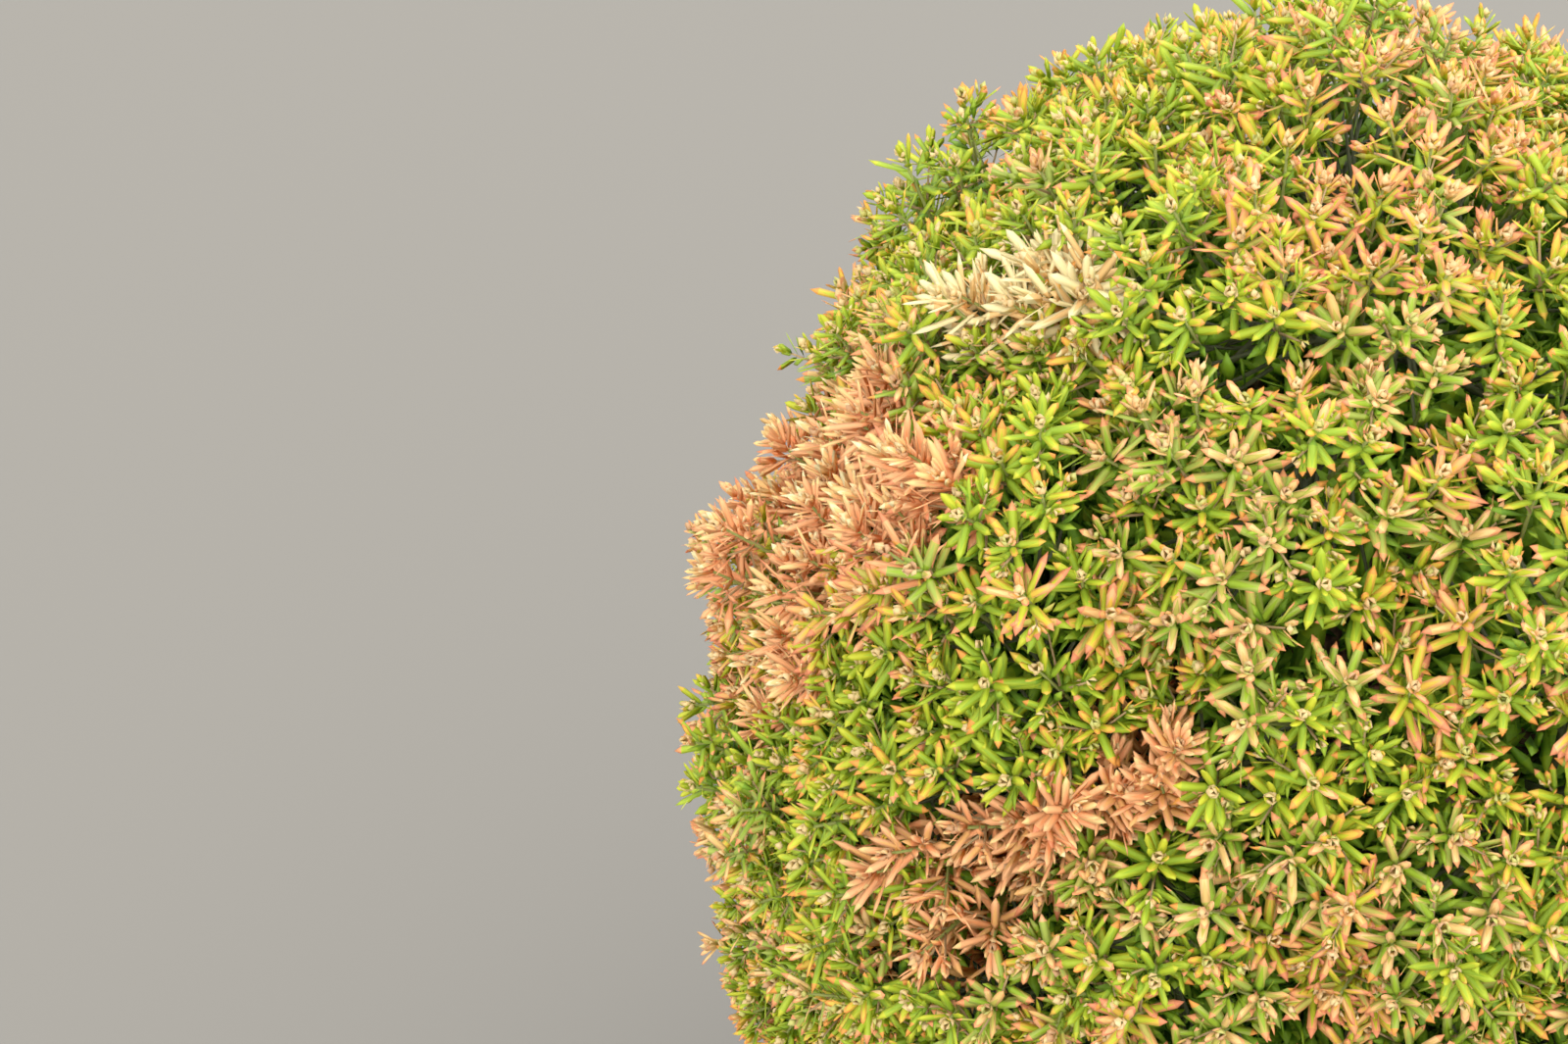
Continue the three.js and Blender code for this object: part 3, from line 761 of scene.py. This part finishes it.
def addNode(tree, kind, links=None, **values):
    node = tree.nodes.new(kind)
    for label, value in values.items():
        setattr(node, label, value)
    for socket, source in (links or {}).items():
        if isinstance(source, bpy.types.NodeSocket):
            tree.links.new(source, node.inputs[socket])
        else:
            node.inputs[socket].default_value = source
    return node


def worked(tree, operation, first, second):
    return addNode(tree, "ShaderNodeMath", {0: first, 1: second}, operation=operation).outputs[0]


def noise(tree, place, size, fineness, roughness=0.5):
    return addNode(tree, "ShaderNodeTexNoise",
        {"Vector": place, "Scale": size, "Detail": fineness, "Roughness": roughness}).outputs["Fac"]


def ranged(tree, value, low, high, least=0.0, most=1.0):
    return addNode(tree, "ShaderNodeMapRange", {"Value": value, "From Min": low, "From Max": high,
        "To Min": least, "To Max": most}).outputs[0]


def mixed(tree, share, first, second):
    return addNode(tree, "ShaderNodeMix", {"Factor": share, 6: first, 7: second}, data_type="RGBA").outputs[2]


def heightOf(tree, source):
    return addNode(tree, "ShaderNodeSeparateXYZ", {0: source}).outputs["Z"]


def makeGrainGroup():
    group = bpy.data.node_groups.new("unevenGrain", "ShaderNodeTree")
    sockets = {"INPUT": ["Dark", "Light", "Size", "Stretch", "Contrast"], "OUTPUT": ["Color", "Height"]}
    for side, labels in sockets.items():
        for label in labels:
            kind = "NodeSocketColor" if label in ("Dark", "Light", "Color") else "NodeSocketFloat"
            group.interface.new_socket(name=label, in_out=side, socket_type=kind)
    given, made = group.nodes.new("NodeGroupInput").outputs, group.nodes.new("NodeGroupOutput").inputs
    place = addNode(group, "ShaderNodeTexCoord").outputs["Object"]
    squeeze = addNode(group, "ShaderNodeCombineXYZ", {"X": 1.0, "Y": 1.0, "Z": given["Stretch"]}).outputs[0]
    scaled = addNode(group, "ShaderNodeVectorMath", {0: place, 1: squeeze}, operation="MULTIPLY").outputs[0]
    coarse = noise(group, scaled, given["Size"], grainLook["detail"], grainLook["edge"])
    finer = worked(group, "MULTIPLY", given["Size"], grainLook["finer"])
    fine = noise(group, scaled, finer, grainLook["fineDetail"])
    share = grainLook["fineShare"]
    both = addNode(group, "ShaderNodeMix", {"Factor": share, "A": coarse, "B": fine}).outputs[0]
    spread = ranged(group, both, worked(group, "SUBTRACT", 0.5, given["Contrast"]),
        worked(group, "ADD", 0.5, given["Contrast"]))
    group.links.new(mixed(group, spread, given["Dark"], given["Light"]), made["Color"])
    group.links.new(both, made["Height"])
    return group


grainGroup = makeGrainGroup()


def grainMaterial(name, tones, size, stretch, contrast, roughness, bump, depth=0.001, **sockets):
    material = plainMaterial(name, tones[0], roughness, **sockets)
    tree, inputs = material.node_tree, shaderInputs(material)
    grain = addNode(tree, "ShaderNodeGroup", {"Dark": linear(tones[0]), "Light": linear(tones[1]),
        "Size": size, "Stretch": stretch, "Contrast": contrast}, node_tree=grainGroup)
    height = grain.outputs["Height"]
    relief = addNode(tree, "ShaderNodeBump", {"Height": height, "Strength": bump, "Distance": depth})
    tree.links.new(grain.outputs["Color"], inputs["Base Color"])
    tree.links.new(relief.outputs["Normal"], inputs["Normal"])
    return material


# Bark: the trunk and the boughs follow the same curves as the solids.
bark = dict(foot=174.3, tip=372.7, lean=2.5, footRadius=9, tipRadius=2.6, flareShare=0.65, flareHeight=11,
    flareTop=40, ribs=5, ribShare=0.35, limbTip=2.2, limbTipShare=0.5, outRun=20, upRun=13, endRun=18,
    relief=1.1, reliefSize=7, steps=40, bends=(0.35, 0.7), limbGap=0.3,
    tones=((74, 54, 40), (146, 118, 92)), grain=(160, 0.25, 0.16, 0.9, 0.6))


def trunkCorners():
    lean, foot, rise = bark["lean"], bark["foot"], bark["tip"] - bark["foot"]
    low, high = [foot + share * rise for share in bark["bends"]]
    return np.array([[-lean, lean / 2, foot], [-lean, lean / 2, low], [lean, -lean, high],
        [0, 0, bark["tip"]]])


def bezierPoint(corners, t):
    t = np.asarray(t, float)[..., None]
    return ((1 - t) ** 3 * corners[0] + 3 * t * (1 - t) ** 2 * corners[1] + 3 * t * t * (1 - t) * corners[2]
        + t ** 3 * corners[3])


def pointAlong(corners, share):
    steps = np.linspace(0, 1, 201)
    lengths = np.linalg.norm(np.diff(bezierPoint(corners, steps), axis=0), axis=1)
    run = np.concatenate([[0], np.cumsum(lengths)])
    return bezierPoint(corners, np.interp(share * run[-1], run, steps))


def boughCorners(mass):
    heights, toward = mass["ring"]["heights"], mass["toward"]
    height = heights[mass["index"] % len(heights)]
    start = pointAlong(trunkCorners(), (height - bark["foot"]) / (bark["tip"] - bark["foot"]))
    end = crown["middle"] + toward * (bark["limbTipShare"] * outlineReach(toward) - bark["limbGap"])
    outward = unit(toward * [1, 1, 0]) * bark["outRun"] + [0, 0, bark["upRun"]]
    return np.array([start, start + outward, end - toward * bark["endRun"], end])


def limbMesh(name, corners, radii):
    selectOnly()
    bpy.ops.curve.primitive_bezier_curve_add()
    limb = bpy.context.object
    limb.name = name
    limb.data.bevel_depth = toMetres
    limb.data.bevel_resolution = 3
    limb.data.resolution_u = bark["steps"]
    limb.data.use_fill_caps = True
    points = limb.data.splines[0].bezier_points
    places = [Vector(corner) * toMetres for corner in corners]
    for point, place, radius in zip(points, (places[0], places[3]), radii):
        point.handle_left_type = point.handle_right_type = "FREE"
        point.co = place
        point.radius = radius
    points[0].handle_left, points[0].handle_right = places[0], places[1]
    points[1].handle_left, points[1].handle_right = places[2], places[3]
    bpy.ops.object.convert(target="MESH")
    return bpy.context.object


def flareTrunk(trunk):
    centre = Vector((-bark["lean"], bark["lean"] / 2)) * toMetres
    for corner in trunk.data.vertices:
        height = corner.co.z / toMetres - bark["foot"]
        away = corner.co.xy - centre
        flare = bark["flareShare"] * math.exp(-max(height, 0) / bark["flareHeight"])
        side = math.atan2(away.y, away.x)
        if height < bark["flareTop"]:
            away *= (1 + flare) * (1 + bark["ribShare"] * flare * math.cos(bark["ribs"] * side))
            corner.co.xy = centre + away


def addRelief(piece):
    selectOnly(piece)
    texture = bpy.data.textures.new(f"{piece.name}Relief", "VORONOI")
    texture.noise_scale = bark["reliefSize"] * toMetres
    relief = piece.modifiers.new("barkRelief", "DISPLACE")
    relief.texture = texture
    relief.texture_coords = "LOCAL"
    relief.strength = bark["relief"] * toMetres
    relief.mid_level = 0.5
    bpy.ops.object.modifier_apply(modifier=relief.name)
    bpy.ops.object.shade_smooth()


def growBark():
    material = grainMaterial("conifer_bark", bark["tones"], *bark["grain"])
    trunk = limbMesh("barkTrunk", trunkCorners(), (bark["footRadius"], bark["tipRadius"]))
    flareTrunk(trunk)
    carriers = [mass for mass in masses if mass["ring"]["heights"]]
    limbs = [limbMesh("limb", boughCorners(mass), (mass["ring"]["limb"], bark["limbTip"]))
        for mass in carriers]
    selectOnly(*limbs)
    bpy.ops.object.join()
    boughs = bpy.context.object
    boughs.name = "barkBoughs"
    for piece in (trunk, boughs):
        addRelief(piece)
        piece.data.materials.clear()
        piece.data.materials.append(material)
        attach(piece, "root")
    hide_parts("trunk")
    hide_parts(*[f"bough_{mass['label']}" for mass in carriers])
    print("bark grown")


growBark()

# The nursery pot: a moulded plastic shell with a stepped collar, a rolled lip and drain holes.
pot = dict(height=205, rimRadius=125, footRadius=96, wall=2.3, floor=3.2, collarHeight=18, collarStep=3,
    lip=5.6, lipFrom=-55, lipTurn=235, edge=2, draft=0.4, sides=144, lipSteps=10, holes=8, holeRadius=6,
    holeHeight=11, shadeAngle=40, tones=((5, 5, 5), (13, 13, 12)),
    grain=(60, 0.4, 0.22, 0.42, 0.18, 0.0004), shine={"Specular IOR Level": 0.16},
    dust=dict(shade=(70, 61, 48), amount=0.8, rise=0.035, low=0.55, facing=(0.35, 1.0), top=0.5,
        specks=(160, 8, 0.75), patches=(24, 4), mottle=(0.18, 0.4), least=0.1, roughness=(0.4, 0.85)))
collarFoot = pot["height"] - pot["collarHeight"]
wallTop = pot["rimRadius"] - pot["lip"] / 2 - pot["collarStep"] - pot["wall"]


def wallRadius(height):
    return pot["footRadius"] + (wallTop - pot["footRadius"]) * height / collarFoot


def insideRadius(height):
    return wallRadius(height) - pot["wall"]


def startDisc(name, sides, radius, height=0):
    selectOnly()
    bpy.ops.mesh.primitive_circle_add(vertices=sides, radius=radius * toMetres, fill_type="NGON",
        location=(0, 0, height * toMetres))
    disc = bpy.context.object
    disc.name = name
    editAll()
    return disc


def editAll():
    bpy.ops.object.mode_set(mode="EDIT")
    bpy.ops.mesh.select_all(action="SELECT")


def raiseFace(rise):
    bpy.ops.mesh.extrude_region_move(TRANSFORM_OT_translate={"value": (0, 0, rise * toMetres)})


def closeShell():
    bpy.ops.mesh.select_all(action="SELECT")
    bpy.ops.mesh.normals_make_consistent(inside=False)
    bpy.ops.object.mode_set(mode="OBJECT")


def smoothBelow(piece, angle):
    selectOnly(piece)
    bpy.ops.object.shade_smooth_by_angle(angle=math.radians(angle))


def potProfile():
    height, edge, wall, lip = pot["height"], pot["edge"], pot["wall"], pot["lip"]
    collar = wallTop + pot["collarStep"]
    middle = (pot["rimRadius"] - lip / 2, height - lip / 2)
    turns = np.radians(pot["lipFrom"] + pot["lipTurn"] * np.linspace(0, 1, pot["lipSteps"] + 1))
    rounded = [(middle[0] + lip / 2 * math.cos(turn), middle[1] + lip / 2 * math.sin(turn)) for turn in turns]
    outside = [(wallRadius(0) - edge, 0), (wallRadius(0) - edge * 0.3, edge * 0.3), (wallRadius(edge), edge),
        (wallRadius(collarFoot * 0.5), collarFoot * 0.5), (wallRadius(collarFoot - 1), collarFoot - 1),
        (wallRadius(collarFoot) + 0.6, collarFoot), (collar - 0.5, collarFoot + edge * 0.7),
        (collar, collarFoot + edge * 1.4), (collar + pot["draft"], height - lip)]
    inside = [(collar - wall + pot["draft"], height - lip - edge / 2),
        (collar - wall, collarFoot + edge + wall), (insideRadius(collarFoot), collarFoot),
        (insideRadius(pot["floor"] + 1), pot["floor"] + 1),
        (insideRadius(pot["floor"]) - 1, pot["floor"])]
    return outside + rounded + inside


def potMaterial():
    material = grainMaterial("nursery_plastic", pot["tones"], *pot["grain"], **pot["shine"])
    tree, inputs, dust = material.node_tree, shaderInputs(material), pot["dust"]
    place = addNode(tree, "ShaderNodeTexCoord").outputs["Object"]
    low = ranged(tree, heightOf(tree, place), dust["rise"], 0.0, most=dust["low"])
    facing = heightOf(tree, addNode(tree, "ShaderNodeNewGeometry").outputs["Normal"])
    settled = worked(tree, "MAXIMUM", low, ranged(tree, facing, *dust["facing"], most=dust["top"]))
    mottle = worked(tree, "MULTIPLY", *[noise(tree, place, *dust[kind]) for kind in ("specks", "patches")])
    mottle = ranged(tree, mottle, *dust["mottle"], least=dust["least"])
    mask = worked(tree, "MULTIPLY", worked(tree, "MULTIPLY", settled, mottle), dust["amount"])
    mask.node.use_clamp = True
    worn = inputs["Base Color"].links[0].from_socket
    tree.links.new(mixed(tree, mask, worn, linear(dust["shade"])), inputs["Base Color"])
    tree.links.new(ranged(tree, mask, 0.0, 1.0, *dust["roughness"]), inputs["Roughness"])
    return material


def modelPot():
    profile = potProfile()
    shell = startDisc("nurseryPot", pot["sides"], profile[0][0])
    for (radius, height), (nextRadius, nextHeight) in zip(profile, profile[1:]):
        raiseFace(nextHeight - height)
        ratio = nextRadius / radius
        bpy.ops.transform.resize(value=(ratio, ratio, 1), center_override=(0, 0, 0))
    closeShell()
    cutDrainHoles(shell)
    smoothBelow(shell, pot["shadeAngle"])
    shell.data.materials.append(potMaterial())
    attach(shell, "root")
    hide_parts("pot")
    print("pot modelled")


def cutDrainHoles(shell):
    cutters = []
    for i in range(pot["holes"]):
        turn = 2 * math.pi * (i + 0.5) / pot["holes"]
        selectOnly()
        bpy.ops.mesh.primitive_cylinder_add(
            vertices=24, radius=pot["holeRadius"] * toMetres, depth=4 * pot["holeRadius"] * toMetres,
            location=Vector(onRing(wallRadius(pot["holeHeight"]), turn, pot["holeHeight"])) * toMetres,
            rotation=(0, math.pi / 2, turn))
        cutters.append(bpy.context.object)
    selectOnly(*cutters)
    bpy.ops.object.join()
    cutter = bpy.context.object
    selectOnly(shell)
    cut = shell.modifiers.new("drainHoles", "BOOLEAN")
    cut.object = cutter
    cut.operation = "DIFFERENCE"
    cut.solver = "EXACT"
    bpy.ops.object.modifier_apply(modifier=cut.name)
    bpy.data.objects.remove(cutter, do_unlink=True)


modelPot()

# Soil and mulch: a rough bed with broken bark chunks lying on it.
bed = dict(soilTop=164, top=174, gap=0.3, unevenness=1.4, heaveSeed=72, insets=7, sides=96, shapes=6,
    roughness=0.13, smooth=0.55, chipSize=(27, 17, 8), shadeAngle=35,
    large=dict(count=23, seed=4021, size=(0.7, 1.3), tilt=0.25, nearest=30, inset=18, turn=0),
    small=dict(count=230, seed=71, size=(0.3, 0.62), tilt=0.35, nearest=15, inset=9, turn=0.5, rise=0.6),
    tones=dict(mulchRed=((96, 58, 42), (150, 98, 74)), mulchDark=((58, 38, 30), (104, 70, 54)),
        mulchPale=((124, 88, 66), (176, 136, 104))), grain=(90, 0.5, 0.18, 0.9, 0.5),
    bedTones=((48, 33, 25), (96, 66, 50)), bedGrain=(120, 1, 0.2, 0.95, 0.8),
    soilTones=((34, 25, 19), (72, 54, 40)), soilGrain=(140, 1, 0.2, 0.95, 0.8))
bedFoot = bed["soilTop"] + bed["gap"]
bedEdge = insideRadius(bedFoot) - 2 * bed["gap"]


def modelChunks():
    chunks = []
    for i in range(bed["shapes"]):
        selectOnly()
        bpy.ops.mesh.primitive_cube_add(size=1)
        chunk = bpy.context.object
        editAll()
        bpy.ops.mesh.subdivide(number_cuts=2, smoothness=bed["smooth"])
        bpy.ops.transform.vertex_random(offset=bed["roughness"], seed=i + 3)
        bpy.ops.mesh.quads_convert_to_tris()
        bpy.ops.object.mode_set(mode="OBJECT")
        corners = np.array([corner.co for corner in chunk.data.vertices])
        faces = np.array([face.vertices for face in chunk.data.polygons], dtype=np.int32)
        chunks.append((corners / np.ptp(corners, axis=0), faces))
        bpy.data.objects.remove(chunk, do_unlink=True)
    return chunks


def layChunk(chunk, kind, i, size, leans, spin, rise, tone):
    around = i * goldenAngle + kind["turn"]
    run = bedEdge - kind["inset"] - kind["nearest"]
    out = kind["nearest"] + run * math.sqrt((i + 0.5) / kind["count"])
    turns = [Euler(angles).to_matrix() for angles in ((0, 0, around), (0, 0, spin), (*leans, 0))]
    corners = chunk[0] * np.array(bed["chipSize"]) * size @ np.array(turns[0] @ turns[1] @ turns[2]).T
    return corners + onRing(out, around, bed["top"] + rise), chunk[1], np.full(len(chunk[1]), tone)


def scatterChunks():
    chunks, large, small = modelChunks(), bed["large"], bed["small"]
    numbers = seededNumbers(large["seed"])
    parts = []
    for i in range(large["count"]):
        size = np.interp(next(numbers), [0, 1], large["size"])
        leans = (large["tilt"] * swing(numbers), large["tilt"] * swing(numbers))
        spin, rise = math.pi * next(numbers), bed["chipSize"][2] * size / 4
        parts.append(layChunk(chunks[i % len(chunks)], large, i, size, leans, spin, rise, i % 3))
    draw = np.random.default_rng(small["seed"])
    for i in range(small["count"]):
        size = draw.uniform(*small["size"])
        leans = small["tilt"] * draw.standard_normal(2)
        spin, chunk = draw.uniform(0, math.pi), chunks[draw.integers(len(chunks))]
        parts.append(layChunk(chunk, small, i, size, leans, spin, small["rise"], draw.integers(3)))
    materials = [grainMaterial(name, tones, *bed["grain"]) for name, tones in bed["tones"].items()]
    chips = meshPiece("mulchChunks", parts, materials)
    smoothBelow(chips, bed["shadeAngle"])
    return chips


def modelBed():
    ground = startDisc("mulchBed", bed["sides"], bedEdge, bedFoot)
    raiseFace(bed["top"] - bedFoot)
    for _ in range(bed["insets"]):
        bpy.ops.mesh.inset(thickness=bedEdge * toMetres / (bed["insets"] + 1.5))
    closeShell()
    bpy.ops.object.transform_apply(location=True)
    heave = np.random.default_rng(bed["heaveSeed"])
    for corner in ground.data.vertices:
        if corner.co.z > (bed["top"] - 1) * toMetres and corner.co.xy.length < (bedEdge - 2) * toMetres:
            corner.co.z += bed["unevenness"] * toMetres * heave.uniform(-1, 0.6)
    ground.data.materials.append(grainMaterial("mulch_bed", bed["bedTones"], *bed["bedGrain"]))
    return ground


def layMulch():
    chips = scatterChunks()
    ground = modelBed()
    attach(ground, "root")
    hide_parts("mulch")
    soil = nodes["soil"]
    soil.data.materials.clear()
    soil.data.materials.append(grainMaterial("potting_soil", bed["soilTones"], *bed["soilGrain"]))
    print("mulch laid")


layMulch()

# Floor, light and background.
studio = dict(floor=40.0, floorShade=(104, 102, 98), sky=(246, 243, 236), skyStrength=2.2,
    gamma=1.35,  # the soft contrast of an overcast day
    lights=[
        dict(name="skyPanel", place=(1.2, 0.8, 2.0), size=2.2, watts=34, shade=(255, 250, 240)),
        dict(name="sidePanel", place=(1.7, -1.3, 1.3), size=1.4, watts=3, shade=(255, 244, 228))])


def lightStudio():
    bpy.ops.mesh.primitive_plane_add(size=studio["floor"])
    floor = bpy.context.object
    floor.name = "floor"
    floor.data.materials.append(plainMaterial("paleFloor", studio["floorShade"], 0.8))
    for lamp in studio["lights"]:
        bpy.ops.object.light_add(type="AREA", location=lamp["place"])
        light = bpy.context.object
        light.name = lamp["name"]
        light.data.size = lamp["size"]
        light.data.energy = lamp["watts"]
        light.data.color = linear(lamp["shade"])[:3]
        aim = Vector(crown["middle"]) * toMetres - light.location
        light.rotation_euler = aim.to_track_quat("-Z", "Y").to_euler()
    world = bpy.data.worlds.new("paleSky")
    scene.world = world
    world.use_nodes = True
    sky = world.node_tree.nodes["Background"]
    sky.inputs["Color"].default_value = linear(studio["sky"])
    sky.inputs["Strength"].default_value = studio["skyStrength"]


lightStudio()
scene.view_settings.view_transform = "Standard"
scene.view_settings.gamma = studio["gamma"]
